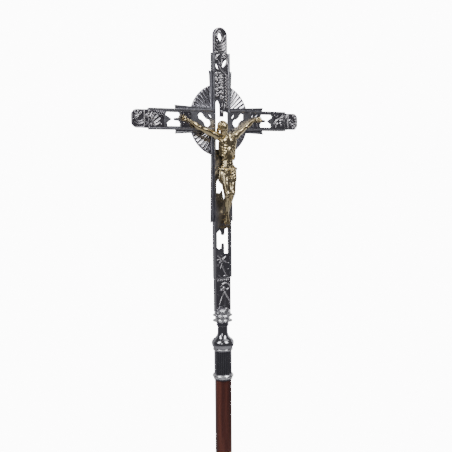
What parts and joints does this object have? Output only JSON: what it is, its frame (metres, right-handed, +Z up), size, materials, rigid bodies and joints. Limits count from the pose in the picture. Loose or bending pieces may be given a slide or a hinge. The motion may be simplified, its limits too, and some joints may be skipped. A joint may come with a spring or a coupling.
{
  "type": "processional cross",
  "caption": "Openwork metal cross with a rayed disc and a gilt figure, on a knop and a round wooden staff that unscrews in two halves.",
  "frame": {"origin": "middle of the flat face at the foot of the staff", "axes": "+Z up the staff, the figure faces -Y, +X to the viewer's right"},
  "size_m": [0.35, 0.0486, 1.9844],
  "materials": {
    "varnished_wood": "gloss",
    "dark_nickel": "polished, darkened in the recesses",
    "bright_nickel": "polished",
    "black_metal": "black nickel, polished",
    "antique_gold": "antiqued, polished on the high places",
    "plain_steel": "turned",
    "plain_brass": "turned"
  },
  "bodies": {
    "lower_staff": {"foot_wear_disc": "plain_steel", "foot_ferrule": "bright_nickel", "foot_pin": "plain_steel", "lower_shaft": "varnished_wood", "coupling_socket": "bright_nickel", "socket_insert": "plain_brass", "socket_pin": "plain_steel"},
    "staff_washer": {"coupling_washer": "plain_brass"},
    "upper_staff": {"coupling_plug": "bright_nickel", "coupling_stud": "plain_steel", "plug_pin": "plain_steel", "upper_shaft": "varnished_wood", "lip_ring": "black_metal", "bright_band": "bright_nickel", "barrel_base_ring": "bright_nickel", "fluted_barrel": "black_metal", "head_insert": "plain_brass", "barrel_pin": "plain_steel"},
    "knop_washer": {"knop_ring": "bright_nickel"},
    "cross_head": {"knop": "black_metal", "tie_rod": "plain_steel", "neck_shims": "bright_nickel", "neck_ring": "black_metal", "double_ring_collar": "bright_nickel", "calyx": "bright_nickel", "foot_socket": "dark_nickel", "core_plate": "dark_nickel", "post_bars": "dark_nickel", "left_arm_bars": "dark_nickel", "right_arm_bars": "dark_nickel", "top_flares": "dark_nickel", "lower_flares": "dark_nickel", "left_flares": "dark_nickel", "right_flares": "dark_nickel", "ray_disc": "dark_nickel", "left_finial": "dark_nickel", "right_finial": "dark_nickel", "top_finial": "dark_nickel", "end_rivets": "dark_nickel", "left_relief": "dark_nickel", "right_relief": "dark_nickel", "top_relief": "dark_nickel", "lower_relief": "dark_nickel", "foot_relief": "dark_nickel", "corpus_body": "antique_gold", "corpus_left_arm": "antique_gold", "corpus_right_arm": "antique_gold", "foot_rest": "antique_gold", "corpus_nails": "antique_gold", "nail_nuts": "plain_brass"}
  },
  "joints": [
    {"name": "staff_lift", "type": "slide", "parent": "lower_staff", "child": "staff_washer", "axis": [0, 0, 1], "range_m": [0, 0.018]},
    {"name": "staff_unscrew", "type": "hinge", "parent": "staff_washer", "child": "upper_staff", "pos_m": [0, 0, 0.7], "axis": [0, 0, 1], "range_deg": [0, 2160]},
    {"name": "head_lift", "type": "slide", "parent": "upper_staff", "child": "knop_washer", "axis": [0, 0, 1], "range_m": [0, 0.015]},
    {"name": "head_unscrew", "type": "hinge", "parent": "knop_washer", "child": "cross_head", "pos_m": [0, 0, 1.42], "axis": [0, 0, 1], "range_deg": [0, 2160]}
  ],
  "couplings": [
    {"joint": "staff_lift", "follows": "staff_unscrew", "m_per_rad": 0.0004774},
    {"joint": "head_lift", "follows": "head_unscrew", "m_per_rad": 0.0003978}
  ]
}
